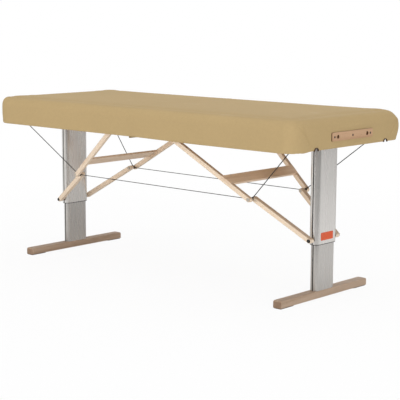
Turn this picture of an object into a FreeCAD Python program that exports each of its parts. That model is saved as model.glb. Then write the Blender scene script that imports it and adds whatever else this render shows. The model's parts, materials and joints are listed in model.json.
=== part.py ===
import FreeCAD, Part
import math
import os

from FreeCAD import Vector

# Portable electric massage table. Millimetres, X along the table with the head end at +X,
# Y across it, Z up from the floor. Every piece is drawn on the head half (positive X) and
# mirrored for the foot half.

# Table top
HALF_LENGTH = 975.0
HALF_WIDTH = 400.0
TOP_Z = 820.0
SKIRT_Z = 687.0
SEAM_GAP = 1.0
CORNER_R = 78.0
SKIRT_T = 8.0
DECK_Z = 762.0
DECK_T = 6.0
RAIL_Z = 690.0
RAIL_T = 22.0

# Centre hinge
HINGE_Z = 684.0
KNUCKLE_R = 4.5
HINGE_PIN_R = 2.2
HINGE_Y = 360.0
HINGE_LEN = 60.0

# Telescopic column
COLUMN_X = 825.0
SLEEVE_X = 52.0
SLEEVE_Y = 152.0
SLEEVE_R = 24.0
SLEEVE_Z = 247.0
SLEEVE_TOP_Z = 711.0
TUBE_WALL = 2.5
INNER_X = 42.0
INNER_Y = 137.0
INNER_R = 19.0
GROOVE_W = 5.0
GROOVE_D = 4.5
RIB_T = 2.0
LIP_T = 3.0
INNER_TOP_Z = 434.0
FOOT_X = 45.0
FOOT_Y = 636.0
FOOT_TOP_Z = 36.0
PAD_T = 3.0
SPINDLE_R = 7.0

# Folding linkage: column pivot A, sleeve pivot B, knee K, strut bracket C, as X and Z
PIVOT_A = (819.5, 718.9)
PIVOT_B = (830.0, 267.4)
PIVOT_K = (573.0, 434.0)
PIVOT_C = (117.0, 749.5)
UPPER_Y_AT_C = 345.0
UPPER_Y_AT_K = 208.5
LOWER_Y_AT_K = 172.0
LOWER_Y_AT_B = 97.0
UPPER_W = 18.0
UPPER_H = 23.0
LOWER_W = 24.0
LOWER_H = 22.0
CROSS_BAR = (393.0, 451.0)
CROSS_BAR_T = 10.5
KNEE_PIN_R = 4.0
KNEE_HEAD_Y = UPPER_Y_AT_K + 6.0
TRUNNION_R = 7.0
CHEEK_Y = 78.5
RUN = 0.08

# Wires
WIRE_R = 1.5
EYE_R = 5.9
TIE_Y = 189.6
TIE_EYE_LEN = 31.0
STAY_Y = 193.8
ANCHOR = (931.0, 307.3, 742.0)

# Face-rest plate on the head end
PLATE_Y = 149.0
PLATE_Z = (719.5, 756.5)
SOCKET_R = 8.5
SOCKET_Y = 107.5
SOCKET_Z = 737.0
NOTCH_Y = 254.0
NOTCH_R = 14.0
NOTCH_Z = 688.0
LINER_T = 2.0

END_X = HALF_LENGTH - SKIRT_T
SIDE_Y = HALF_WIDTH - SKIRT_T
RAIL_END_X = END_X - RAIL_T
RAIL_SIDE_Y = SIDE_Y - RAIL_T
SEAM_X = SEAM_GAP + SKIRT_T


def block(x0, x1, y0, y1, z0, z1):
    return Part.makeBox(x1 - x0, y1 - y0, z1 - z0, Vector(x0, y0, z0))


def rod(start, end, radius):
    a = Vector(*start)
    b = Vector(*end)
    return Part.makeCylinder(radius, (b - a).Length, a, b - a)


def fuse(first, *rest):
    return first.multiFuse(list(rest)).removeSplitter()


def upright_edges(shape, x_min, x_max):
    """Vertical edges of a shape that stand between two X values."""
    found = []
    for edge in shape.Edges:
        box = edge.BoundBox
        if box.XLength < 0.01 and box.YLength < 0.01 and x_min < box.Center.x < x_max:
            found.append(edge)
    return found


def edges_at_height(shape, z):
    return [e for e in shape.Edges if e.BoundBox.ZLength < 0.01 and abs(e.BoundBox.Center.z - z) < 0.01]


def rounded_block(x0, x1, half_y, z0, z1, radius, seam_radius=0.0):
    """A block whose outer vertical corners, at x1, carry the plan radius."""
    shape = block(x0, x1, -half_y, half_y, z0, z1)
    shape = shape.makeFillet(radius, upright_edges(shape, x1 - 1.0, x1 + 1.0))
    if seam_radius:
        shape = shape.makeFillet(seam_radius, upright_edges(shape, x0 - 1.0, x0 + 1.0))
    return shape


def tube_section(centre_x, size_x, size_y, z0, z1, radius):
    shape = block(centre_x - size_x / 2, centre_x + size_x / 2, -size_y / 2, size_y / 2, z0, z1)
    return shape.makeFillet(radius, upright_edges(shape, centre_x - size_x, centre_x + size_x))


def far_and_near(shape):
    return [shape, shape.mirror(Vector(0, 0, 0), Vector(0, 1, 0))]


def along(shape, start, end):
    """Lays a shape drawn along local X, with Z as its normal, on the line between two pivots."""
    angle = -math.degrees(math.atan2(end[1] - start[1], end[0] - start[0]))
    shape = shape.copy()
    shape.rotate(Vector(0, 0, 0), Vector(0, 1, 0), angle)
    shape.translate(Vector(start[0], 0, start[1]))
    return shape


def span(start, end):
    return math.hypot(end[0] - start[0], end[1] - start[1])


def slanted(length, t0, t1, y_start, y_end, inner, outer, z0, z1):
    """A prism whose two sides run parallel to a line that splays from y_start to y_end."""
    slope = (y_end - y_start) / length
    corners = [
        Vector(t0, y_start + slope * t0 + inner, z0),
        Vector(t1, y_start + slope * t1 + inner, z0),
        Vector(t1, y_start + slope * t1 + outer, z0),
        Vector(t0, y_start + slope * t0 + outer, z0),
    ]
    face = Part.Face(Part.makePolygon(corners + corners[:1]))
    return face.extrude(Vector(0, 0, z1 - z0))


def strut(start, end, y_start, y_end, width, height):
    """A square wooden bar with ends rounded about the two pivot axes."""
    length = span(start, end)
    half_w = 0.5 * width / math.cos(math.atan2(y_end - y_start, length))
    bar = slanted(length, -height, length + height, y_start, y_end, -half_w, half_w, -height, height)
    y_low = min(y_start, y_end) - 60.0
    y_high = max(y_start, y_end) + 60.0
    profile = fuse(
        block(0.0, length, y_low, y_high, -height / 2, height / 2),
        rod((0.0, y_low, 0.0), (0.0, y_high, 0.0), height / 2),
        rod((length, y_low, 0.0), (length, y_high, 0.0), height / 2),
    )
    bar = bar.common(profile).removeSplitter()
    long_edges = [e for e in bar.Edges if e.Length > 0.8 * length]
    bar = bar.makeFillet(2.5, long_edges)
    return along(bar.Solids[0], start, end)


def wire(start, start_eye, end, end_eye):
    """A steel wire; an end with an eye carries a loop about a pin along Y, and a crimp."""
    a = Vector(*start)
    b = Vector(*end)
    flat = Vector(b.x - a.x, 0, b.z - a.z).normalize()
    line = (b - a).normalize()
    pieces = []
    first = a
    last = b
    if start_eye:
        first = a + flat * EYE_R
        pieces.append(Part.makeTorus(EYE_R, WIRE_R, a, Vector(0, 1, 0)))
        pieces.append(Part.makeCylinder(2.4, 14.0, a + line * 17.0, line))
    if end_eye:
        last = b - flat * (EYE_R - 1.0)
        pieces.append(Part.makeTorus(EYE_R - 1.0, WIRE_R, b, Vector(0, 1, 0)))
        pieces.append(Part.makeCylinder(2.4, 14.0, b - line * 27.0, line))
    return fuse(rod(first, last, WIRE_R), *pieces)


def cushion(head):
    shell = rounded_block(SEAM_GAP, HALF_LENGTH, HALF_WIDTH, SKIRT_Z, TOP_Z, CORNER_R, 10.0)
    shell = shell.makeFillet(44.0, [e for e in edges_at_height(shell, TOP_Z) if e.BoundBox.XMax > 15.0])
    room = rounded_block(SEAM_X, END_X, SIDE_Y, SKIRT_Z - 1.0, DECK_Z + DECK_T, CORNER_R - SKIRT_T)
    shell = shell.cut(room)
    for y in (-HINGE_Y, HINGE_Y):
        pocket = block(0.0, SEAM_X + 0.5, y - 31.0, y + 31.0, SKIRT_Z - 1.0, RAIL_Z + 0.5)
        shell = shell.cut(pocket)
    if head:
        window = block(END_X - 1.0, HALF_LENGTH + 1.0, -PLATE_Y - 0.5, PLATE_Y + 0.5, PLATE_Z[0] - 0.5, PLATE_Z[1] + 0.5)
        shell = shell.cut(window)
        for tunnel in notch_tools(NOTCH_R):
            shell = shell.cut(tunnel)
    return [shell]


def notch_tools(radius):
    return [rod((RAIL_END_X - 5.0, y, NOTCH_Z), (HALF_LENGTH + 5.0, y, NOTCH_Z), radius) for y in (-NOTCH_Y, NOTCH_Y)]


def notch_gaps():
    return [block(RAIL_END_X - 5.0, END_X, y - 46.0, y + 46.0, RAIL_Z - 1.0, RAIL_Z + 22.0) for y in (-NOTCH_Y, NOTCH_Y)]


def socket_tools():
    return [rod((RAIL_END_X - 5.0, y, SOCKET_Z), (HALF_LENGTH + 5.0, y, SOCKET_Z), SOCKET_R) for y in (-SOCKET_Y, SOCKET_Y)]


def screw_ys():
    return (-131.0, 0.0, 131.0)


def deck():
    return [rounded_block(SEAM_X, END_X, SIDE_Y, DECK_Z, DECK_Z + DECK_T, CORNER_R - SKIRT_T)]


def rail_ring():
    outer = rounded_block(SEAM_X, END_X, SIDE_Y, RAIL_Z, DECK_Z, CORNER_R - SKIRT_T)
    inner_r = CORNER_R - SKIRT_T - RAIL_T
    inner = rounded_block(SEAM_X + RAIL_T, RAIL_END_X, RAIL_SIDE_Y, RAIL_Z - 1.0, DECK_Z + 1.0, inner_r)
    return outer.cut(inner)


def side_rails():
    keep = block(SEAM_X + RAIL_T, HALF_LENGTH - CORNER_R, RAIL_SIDE_Y - 5.0, HALF_WIDTH, RAIL_Z, DECK_Z)
    return far_and_near(rail_ring().common(keep).Solids[0])


def cross_rails(head):
    centre = block(SEAM_X, SEAM_X + RAIL_T, -SIDE_Y, SIDE_Y, RAIL_Z, DECK_Z)
    beam = block(853.0, 873.0, -RAIL_SIDE_Y, RAIL_SIDE_Y, 700.0, DECK_Z)
    end = rail_ring().common(block(HALF_LENGTH - CORNER_R, END_X, -SIDE_Y, SIDE_Y, RAIL_Z, DECK_Z))
    if head:
        for tool in notch_gaps() + socket_tools():
            end = end.cut(tool)
        for y in screw_ys():
            end = end.cut(rod((END_X - 16.0, y, SOCKET_Z), (END_X, y, SOCKET_Z), 2.0))
    return [centre, beam, end.Solids[0]]


def column_brackets():
    back = block(851.0, 853.0, -CHEEK_Y - 6.0, CHEEK_Y + 6.0, 700.0, DECK_Z)
    cheeks = []
    for sign in (-1, 1):
        y0, y1 = sorted((sign * CHEEK_Y, sign * (CHEEK_Y + 6.0)))
        f0, f1 = sorted((sign * CHEEK_Y, sign * (CHEEK_Y + 33.0)))
        cheeks.append(block(800.0, 853.0, y0, y1, 702.0, DECK_Z))
        cheeks.append(block(795.0, 853.0, f0, f1, DECK_Z - 4.0, DECK_Z))
    body = fuse(back, *cheeks)
    bore = rod((PIVOT_A[0], -120.0, PIVOT_A[1]), (PIVOT_A[0], 120.0, PIVOT_A[1]), TRUNNION_R + RUN)
    return [body.cut(bore)]


def strut_brackets():
    x, z = PIVOT_C
    plate = block(x - 22.0, x + 22.0, 362.0, RAIL_SIDE_Y, z - 18.0, DECK_Z)
    pin = rod((x, 329.0, z), (x, 366.0, z), KNEE_PIN_R)
    head = rod((x, 327.0, z), (x, 332.0, z), 7.0)
    return far_and_near(fuse(plate, pin, head))


def wire_anchors():
    x, y, z = ANCHOR
    body = block(x - 9.0, 941.0, 312.0, 328.0, z - 10.0, DECK_Z)
    pin = rod((x, 302.0, z), (x, 320.0, z), 3.0)
    head = rod((x, 300.5, z), (x, 303.0, z), 5.5)
    return far_and_near(fuse(body, pin, head))


def hinge_leaves(head):
    leaves = []
    for side in (-1, 1):
        y = side * HINGE_Y
        low = y - HINGE_LEN / 2
        high = y + HINGE_LEN / 2
        if head:
            spans = [(y - 9.75, y + 9.75)]
        else:
            spans = [(low, y - 10.25), (y + 10.25, high)]
        leaf = block(6.0, 42.0, low, high, RAIL_Z - 2.5, RAIL_Z)
        parts = []
        for y0, y1 in spans:
            parts.append(block(0.0, 7.0, y0, y1, RAIL_Z - 2.5, RAIL_Z))
            parts.append(rod((0.0, y0, HINGE_Z), (0.0, y1, HINGE_Z), KNUCKLE_R))
        leaf = fuse(leaf, *parts)
        leaf = leaf.cut(rod((0.0, low - 5.0, HINGE_Z), (0.0, high + 5.0, HINGE_Z), HINGE_PIN_R + RUN))
        for x, offset in ((16.0, -20.0), (24.0, 0.0), (16.0, 20.0)):
            leaf = leaf.cut(rod((x, y + offset, RAIL_Z - 3.0), (x, y + offset, RAIL_Z), 2.2))
        leaves.append(leaf)
    return leaves


def hinge_pins():
    pins = []
    for side in (-1, 1):
        y = side * HINGE_Y
        pins.append(rod((0.0, y - 29.5, HINGE_Z), (0.0, y + 29.5, HINGE_Z), HINGE_PIN_R))
    return pins


def groove_tools(half_y, z0, z1, side, low, high):
    """Upright bars on both narrow sides of a column profile, between two distances from its end."""
    tools = []
    for sign in (-1, 1):
        y0, y1 = sorted((sign * (half_y - low), sign * (half_y + high)))
        tools.append(block(COLUMN_X - side, COLUMN_X + side, y0, y1, z0, z1))
    return tools


def profile_tube(size_x, size_y, radius, z0, z1, floor):
    """An extruded tube with rounded narrow sides, each with a slot that is carried by an inner rib."""
    outer = tube_section(COLUMN_X, size_x, size_y, z0, z1, radius)
    wall = 2 * TUBE_WALL
    inside = tube_section(COLUMN_X, size_x - wall, size_y - wall, z0 + floor, z1 + 1.0, radius - TUBE_WALL)
    ribs = groove_tools(size_y / 2, z0, z1, GROOVE_W / 2 + RIB_T, GROOVE_D + RIB_T, -1.0)
    body = fuse(outer.cut(inside), *ribs)
    for slot in groove_tools(size_y / 2, z0 - 1.0, z1 + 1.0, GROOVE_W / 2, GROOVE_D, 5.0):
        body = body.cut(slot)
    return body


def clear_of_ribs(shape, size_y):
    """Cuts the room for a tube's ribs out of a piece that fills the tube."""
    for tool in groove_tools(size_y / 2, 0.0, 900.0, GROOVE_W / 2 + RIB_T + 0.1, GROOVE_D + RIB_T + 0.1, 5.0):
        shape = shape.cut(tool)
    return shape


def column_sleeve():
    return [profile_tube(SLEEVE_X, SLEEVE_Y, SLEEVE_R, SLEEVE_Z, SLEEVE_TOP_Z, -1.0)]


def sleeve_filling(z0, z1, gap=0.0):
    wall = 2 * TUBE_WALL + gap
    shape = tube_section(COLUMN_X, SLEEVE_X - wall, SLEEVE_Y - wall, z0, z1, SLEEVE_R - TUBE_WALL - gap / 2)
    return clear_of_ribs(shape, SLEEVE_Y)


def column_head():
    x, z = PIVOT_A
    plug = sleeve_filling(692.0, SLEEVE_TOP_Z)
    cap = block(803.0, 841.0, -74.0, 74.0, SLEEVE_TOP_Z, 727.0)
    cap = cap.makeFillet(6.0, upright_edges(cap, 800.0, 845.0))
    trunnion = rod((x, -CHEEK_Y - 9.0, z), (x, CHEEK_Y + 9.0, z), TRUNNION_R)
    return [fuse(plug, cap, trunnion)]


def gear_motor():
    box = block(804.0, 846.0, -32.0, 32.0, 655.0, 692.0)
    box = box.makeFillet(4.0, upright_edges(box, 800.0, 850.0))
    motor = rod((COLUMN_X, 30.0, 673.0), (COLUMN_X, 67.0, 673.0), 17.0)
    cover = rod((COLUMN_X, -30.0, 673.0), (COLUMN_X, -44.0, 673.0), 12.0)
    boss = rod((COLUMN_X, 0.0, 648.0), (COLUMN_X, 0.0, 656.0), 14.0)
    body = fuse(box, motor, cover, boss)
    return [body.cut(rod((COLUMN_X, 0.0, 640.0), (COLUMN_X, 0.0, 684.0), SPINDLE_R + RUN))]


def spindle():
    shaft = rod((COLUMN_X, 0.0, 300.0), (COLUMN_X, 0.0, 683.5), SPINDLE_R)
    stop = rod((COLUMN_X, 0.0, 300.0), (COLUMN_X, 0.0, 308.0), 12.0)
    return [fuse(shaft, stop)]


def sleeve_glides():
    lip = tube_section(COLUMN_X, SLEEVE_X - 1.6, SLEEVE_Y - 1.6, SLEEVE_Z - LIP_T, SLEEVE_Z, SLEEVE_R - 0.8)
    ring = fuse(sleeve_filling(SLEEVE_Z, SLEEVE_Z + 38.0), lip)
    run = 2 * RUN
    inside = tube_section(COLUMN_X, INNER_X + run, INNER_Y + run, SLEEVE_Z - 9.0, SLEEVE_Z + 39.0, INNER_R + RUN)
    return [ring.cut(inside)]


def inner_tube():
    return [profile_tube(INNER_X, INNER_Y, INNER_R, FOOT_TOP_Z, INNER_TOP_Z, 4.0)]


def spindle_nut():
    wall = 2 * TUBE_WALL
    plug = tube_section(COLUMN_X, INNER_X - wall, INNER_Y - wall, INNER_TOP_Z - 20.0, INNER_TOP_Z, INNER_R - TUBE_WALL)
    glide = sleeve_filling(INNER_TOP_Z, INNER_TOP_Z + 8.0, 0.3)
    body = fuse(clear_of_ribs(plug, INNER_Y), glide)
    return [body.cut(rod((COLUMN_X, 0.0, 400.0), (COLUMN_X, 0.0, 450.0), SPINDLE_R + RUN))]


def foot_bar():
    end = FOOT_Y / 2
    bar = block(COLUMN_X - FOOT_X / 2, COLUMN_X + FOOT_X / 2, -end, end, PAD_T, FOOT_TOP_Z)
    bar = bar.makeFillet(9.0, [e for e in edges_at_height(bar, FOOT_TOP_Z) if e.BoundBox.XLength > 1.0])
    return [bar.makeFillet(3.5, [e for e in bar.Edges if e.BoundBox.XLength < 0.001])]


def foot_pads():
    return far_and_near(block(807.0, 843.0, 225.0, FOOT_Y / 2 - 4.0, 0.0, PAD_T))


def upper_strut():
    bar = strut(PIVOT_C, PIVOT_K, UPPER_Y_AT_C, UPPER_Y_AT_K, UPPER_W, UPPER_H)
    cx, cz = PIVOT_C
    kx, kz = PIVOT_K
    bar = bar.cut(rod((cx, 300.0, cz), (cx, 400.0, cz), KNEE_PIN_R + RUN))
    bar = bar.cut(rod((cx, 310.0, cz), (cx, 335.5, cz), 8.0))
    bar = bar.cut(rod((kx, 190.0, kz), (kx, 240.0, kz), KNEE_PIN_R))
    bar = bar.cut(rod((kx, KNEE_HEAD_Y, kz), (kx, 240.0, kz), 8.5))
    start, end = CROSS_BAR
    housing = block(start, end, 100.0, 400.0, UPPER_H / 2 - CROSS_BAR_T, UPPER_H)
    return bar.cut(along(housing, PIVOT_C, PIVOT_K))


def cross_bar():
    length = span(PIVOT_C, PIVOT_K)
    half_w = 0.5 * UPPER_W / math.cos(math.atan2(UPPER_Y_AT_K - UPPER_Y_AT_C, length))
    slope = (UPPER_Y_AT_K - UPPER_Y_AT_C) / length
    start, end = CROSS_BAR
    low = UPPER_H / 2 - CROSS_BAR_T
    y0 = UPPER_Y_AT_C + slope * start + half_w - 1.0
    y1 = UPPER_Y_AT_C + slope * end + half_w - 1.0
    corners = [Vector(start, -y0, low), Vector(end, -y1, low), Vector(end, y1, low), Vector(start, y0, low)]
    board = Part.Face(Part.makePolygon(corners + corners[:1])).extrude(Vector(0, 0, CROSS_BAR_T))
    board = board.makeFillet(2.0, [e for e in board.Edges if e.Length > 2 * y1 - 20.0 and e.BoundBox.ZMin > low + 1.0])
    return [along(board, PIVOT_C, PIVOT_K)]


def knee_pins():
    x, z = PIVOT_K
    shank = rod((x, 158.0, z), (x, KNEE_HEAD_Y + 3.0, z), KNEE_PIN_R)
    outer = rod((x, KNEE_HEAD_Y, z), (x, KNEE_HEAD_Y + 5.0, z), 8.0)
    inner = rod((x, 157.5, z), (x, 162.8, z), 8.0)
    return far_and_near(fuse(shank, outer, inner))


def lower_strut():
    bar = strut(PIVOT_K, PIVOT_B, LOWER_Y_AT_K, LOWER_Y_AT_B, LOWER_W, LOWER_H)
    kx, kz = PIVOT_K
    bx, bz = PIVOT_B
    bar = bar.cut(rod((kx, 130.0, kz), (kx, 200.0, kz), KNEE_PIN_R + RUN))
    bar = bar.cut(rod((kx, 140.0, kz), (kx, 163.0, kz), 8.5))
    bar = bar.cut(rod((bx, 60.0, bz), (bx, 130.0, bz), KNEE_PIN_R))
    bar = bar.cut(rod((bx, 60.0, bz), (bx, 86.0, bz), 7.0))
    return bar.cut(rod((bx, 107.0, bz), (bx, 130.0, bz), 8.5))


def sleeve_bolts():
    x, z = PIVOT_B
    shank = rod((x, SLEEVE_Y / 2 + 0.5, z), (x, 110.0, z), KNEE_PIN_R)
    spacer = rod((x, SLEEVE_Y / 2 + 0.5, z), (x, 86.0, z), 7.0)
    head = rod((x, 107.0, z), (x, 112.0, z), 8.0)
    return far_and_near(fuse(shank, spacer, head))


def stay_wires():
    knee = (PIVOT_K[0], STAY_Y, PIVOT_K[1])
    return far_and_near(wire(knee, True, ANCHOR, True))


def tie_eyes():
    knee = (PIVOT_K[0], TIE_Y, PIVOT_K[1])
    return far_and_near(wire(knee, True, (PIVOT_K[0] - TIE_EYE_LEN, TIE_Y, PIVOT_K[1]), False))


def tie_wires():
    reach = PIVOT_K[0] - TIE_EYE_LEN - 0.5
    return far_and_near(rod((-reach, TIE_Y, PIVOT_K[1]), (reach, TIE_Y, PIVOT_K[1]), WIRE_R))


def face_rest_plate():
    plate = block(END_X, HALF_LENGTH, -PLATE_Y, PLATE_Y, PLATE_Z[0], PLATE_Z[1])
    plate = plate.makeFillet(4.0, [e for e in plate.Edges if e.BoundBox.XLength > 5.0])
    for tool in socket_tools():
        plate = plate.cut(tool)
    for y in screw_ys():
        plate = plate.cut(rod((END_X - 1.0, y, SOCKET_Z), (HALF_LENGTH, y, SOCKET_Z), 2.0))
        plate = plate.cut(Part.makeCone(2.0, 5.0, 3.0, Vector(HALF_LENGTH - 3.0, y, SOCKET_Z), Vector(1, 0, 0)))
    return [plate]


def plate_screws():
    screws = []
    for y in screw_ys():
        shank = rod((END_X - 16.0, y, SOCKET_Z), (HALF_LENGTH - 2.0, y, SOCKET_Z), 2.0)
        cone = Part.makeCone(2.0, 5.0, 3.0, Vector(HALF_LENGTH - 3.0, y, SOCKET_Z), Vector(1, 0, 0))
        slot = block(HALF_LENGTH - 1.0, HALF_LENGTH + 1.0, y - 3.5, y + 3.5, SOCKET_Z - 0.6, SOCKET_Z + 0.6)
        cross = block(HALF_LENGTH - 1.0, HALF_LENGTH + 1.0, y - 0.6, y + 0.6, SOCKET_Z - 3.5, SOCKET_Z + 3.5)
        screws.append(fuse(shank, cone).cut(slot).cut(cross))
    return screws


def notch_liners():
    liners = []
    keep = block(END_X, HALF_LENGTH, -HALF_WIDTH, HALF_WIDTH, SKIRT_Z, TOP_Z)
    for outer, inner in zip(notch_tools(NOTCH_R), notch_tools(NOTCH_R - LINER_T)):
        liners.append(outer.cut(inner).common(keep).Solids[0])
    return liners


def control_box():
    box = block(881.0, 940.0, -85.0, 85.0, 722.0, DECK_Z)
    box = box.makeFillet(6.0, upright_edges(box, 880.0, 941.0))
    box = box.cut(block(896.0, 924.0, -60.0, -40.0, 720.0, 737.0))
    return [box.cut(rod((910.0, 60.0, 720.0), (910.0, 60.0, 734.0), 6.0))]


def save(name, solids, mirrored=False):
    shapes = []
    for solid in solids:
        if mirrored:
            solid = solid.mirror(Vector(0, 0, 0), Vector(1, 0, 0))
        shapes.append(solid)
    shape = shapes[0] if len(shapes) == 1 else Part.makeCompound(shapes)
    shape.exportStep("parts/%s.step" % name)


def build():
    os.makedirs("parts", exist_ok=True)
    upper_far, upper_near = far_and_near(upper_strut())
    lower_far, lower_near = far_and_near(lower_strut())
    for half, head in (("head", True), ("foot", False)):
        pieces = {
            "cushion": cushion(head),
            "deck": deck(),
            "side_rails": side_rails(),
            "cross_rails": cross_rails(head),
            "column_bracket": column_brackets(),
            "strut_brackets": strut_brackets(),
            "wire_anchors": wire_anchors(),
            "hinge_leaves": hinge_leaves(head),
            "column_sleeve": column_sleeve(),
            "column_head": column_head(),
            "gear_motor": gear_motor(),
            "spindle": spindle(),
            "sleeve_glide": sleeve_glides(),
            "inner_tube": inner_tube(),
            "spindle_nut": spindle_nut(),
            "foot_bar": foot_bar(),
            "foot_pads": foot_pads(),
            "upper_strut_far": [upper_far],
            "upper_strut_near": [upper_near],
            "cross_bar": cross_bar(),
            "knee_pins": knee_pins(),
            "lower_strut_far": [lower_far],
            "lower_strut_near": [lower_near],
            "sleeve_bolts": sleeve_bolts(),
            "stay_wires": stay_wires(),
            "tie_eyes": tie_eyes(),
        }
        for name, solids in pieces.items():
            save("%s_%s" % (half, name), solids, not head)
    save("hinge_pins", hinge_pins())
    save("tie_wires", tie_wires())
    save("face_rest_plate", face_rest_plate())
    save("plate_screws", plate_screws())
    save("notch_liners", notch_liners())
    save("control_box", control_box())


build()
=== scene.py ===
import json
import math

import bpy
from mathutils import Matrix, Vector


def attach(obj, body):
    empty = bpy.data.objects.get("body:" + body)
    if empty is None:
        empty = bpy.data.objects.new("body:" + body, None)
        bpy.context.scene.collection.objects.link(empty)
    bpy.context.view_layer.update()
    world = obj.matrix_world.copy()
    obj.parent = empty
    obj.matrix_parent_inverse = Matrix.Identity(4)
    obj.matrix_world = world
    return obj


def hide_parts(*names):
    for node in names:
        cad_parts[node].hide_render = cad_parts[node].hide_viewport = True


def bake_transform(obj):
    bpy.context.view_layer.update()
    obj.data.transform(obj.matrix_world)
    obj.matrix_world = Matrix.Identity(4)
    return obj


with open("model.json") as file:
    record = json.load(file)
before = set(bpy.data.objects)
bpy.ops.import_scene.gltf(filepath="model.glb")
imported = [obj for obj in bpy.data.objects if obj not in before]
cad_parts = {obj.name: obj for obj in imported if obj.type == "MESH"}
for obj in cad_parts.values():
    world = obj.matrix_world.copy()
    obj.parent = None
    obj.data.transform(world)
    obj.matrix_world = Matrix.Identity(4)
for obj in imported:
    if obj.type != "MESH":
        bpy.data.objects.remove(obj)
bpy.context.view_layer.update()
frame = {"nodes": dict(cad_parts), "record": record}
nodes = frame["nodes"]

# Measures of the table, in metres. The head half lies on +X, the foot half mirrors it.
HALVES = (("head", 1.0), ("foot", -1.0))
SIDES = (("near", -1.0), ("far", 1.0))
ALONG_X = (1.0, 0.0, 0.0)
ALONG_Y = (0.0, 1.0, 0.0)
WHITE = (1.0, 1.0, 1.0, 1.0)

# Wooden frame and what is set into it
FRAME_END = 0.967
FRAME_SIDE = 0.392
FRAME_CORNER = 0.0698
DECK_TOP = 0.768
UNDER_FRAME = 0.60
COLUMN_X = 0.825
HINGE_Y = 0.360
NOTCH_X = (0.940, 0.990)
NOTCH_Y = 0.254
NOTCH_Z = 0.688
NOTCH_R = 0.0141
ROUND_STEPS = 14

# Cover
SEAM_X = 0.0002
SKIRT_Z = 0.687
TOP_Z = 0.8195
END_X = 0.9705
SIDE_Y = 0.4000
TOP_ROUND = 0.043
CORNER_X = 0.894
CORNER_Y = 0.3235
CORNER_R = 0.0765

# Linkage: the knee's X and Z, and the pivots of the struts, each with half the height of its narrow face
KNEE = (0.573, 0.434)
STRUTS = (
    ("upper", (KNEE[0], 0.2085, KNEE[1]), (0.117, 0.345, 0.7495), 0.0115),
    ("lower", (KNEE[0], 0.172, KNEE[1]), (0.830, 0.097, 0.2674), 0.0110),
)
TIE_Y = 0.1896
STAY_Y = 0.1938
ANCHOR = (0.931, 0.3073, 0.742)


# Handwork on meshes

def clear_selection():
    if bpy.context.mode != "OBJECT":
        bpy.ops.object.mode_set(mode="OBJECT")
    bpy.ops.object.select_all(action="DESELECT")


def work_on(piece, *others):
    clear_selection()
    for other in others:
        other.select_set(True)
    piece.select_set(True)
    bpy.context.view_layer.objects.active = piece


def name_new(name):
    piece = bpy.context.object
    piece.name = name
    piece.data.name = name
    return piece


def settle(piece):
    """Puts a piece's place, turn and scale into its mesh."""
    work_on(piece)
    bpy.ops.object.transform_apply(location=True, rotation=True, scale=True)
    return piece


def add_block(name, low, high):
    clear_selection()
    bpy.ops.mesh.primitive_cube_add(size=1.0, location=[(a + b) / 2 for a, b in zip(low, high)])
    piece = name_new(name)
    piece.scale = [b - a for a, b in zip(low, high)]
    return settle(piece)


def add_bar(name, start, end, radius, sides=24):
    """A round bar between two points."""
    clear_selection()
    a, b = Vector(start), Vector(end)
    bpy.ops.mesh.primitive_cylinder_add(vertices=sides, radius=radius, depth=(b - a).length, location=(a + b) / 2)
    piece = name_new(name)
    piece.rotation_euler = (b - a).to_track_quat("Z", "Y").to_euler()
    return settle(piece)


def pick(piece, kind, test):
    """Goes into edit mode with the faces, edges or points that pass a test selected."""
    work_on(piece)
    mesh = piece.data
    bpy.context.tool_settings.mesh_select_mode = (kind == "VERT", kind == "EDGE", kind == "FACE")
    for items in (mesh.vertices, mesh.edges, mesh.polygons):
        items.foreach_set("select", [False] * len(items))
    points = mesh.vertices
    if kind == "VERT":
        for point in points:
            point.select = test(point.co)
    if kind == "EDGE":
        for edge in mesh.edges:
            edge.select = test(points[edge.vertices[0]].co, points[edge.vertices[1]].co)
    if kind == "FACE":
        for face in mesh.polygons:
            face.select = test(face.center, face.normal)
    bpy.ops.object.mode_set(mode="EDIT")


def pick_all(piece, kind="FACE"):
    pick(piece, kind, lambda *given: True)


def leave_edit():
    bpy.ops.object.mode_set(mode="OBJECT")


def bevel_edges(piece, width, segments, test):
    pick(piece, "EDGE", test)
    bpy.ops.mesh.bevel(offset=width, segments=segments, affect="EDGES")
    leave_edit()


def round_outer_corners(piece, radius, least=0.05):
    """Rounds a head-half block's two upright edges at the table's end. Edges shorter than the least are not upright."""
    bevel_edges(piece, radius, ROUND_STEPS, lambda a, b: abs(a.z - b.z) > least and a.x > 0.5)


def apply_modifier(piece, kind, **settings):
    work_on(piece)
    modifier = piece.modifiers.new(kind.title(), kind)
    for key, value in settings.items():
        setattr(modifier, key, value)
    bpy.ops.object.modifier_apply(modifier=modifier.name)
    return piece


def cut_away(piece, tool):
    apply_modifier(piece, "BOOLEAN", operation="DIFFERENCE", object=tool, solver="MANIFOLD")
    bpy.data.objects.remove(tool)


def slice_across(piece, place, line):
    """Cuts a ring of edges round a piece, and stays in edit mode with the ring selected."""
    pick_all(piece)
    bpy.ops.mesh.bisect(plane_co=place, plane_no=line)


def join(name, pieces):
    work_on(pieces[0], *pieces[1:])
    if len(pieces) > 1:
        bpy.ops.object.join()
    return name_new(name)


def copy_piece(piece, name):
    twin = piece.copy()
    twin.data = piece.data.copy()
    bpy.context.scene.collection.objects.link(twin)
    twin.name = name
    twin.data.name = name
    return twin


def mirror_piece(piece):
    """Turns a piece of the head half into its mirror image on the foot half."""
    pick_all(piece)
    bpy.ops.transform.resize(value=(-1.0, 1.0, 1.0), center_override=(0.0, 0.0, 0.0))
    bpy.ops.mesh.normals_make_consistent(inside=False)
    leave_edit()


def smooth(piece, degrees):
    work_on(piece)
    bpy.ops.object.shade_smooth_by_angle(angle=math.radians(degrees))


# Nodes

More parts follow.
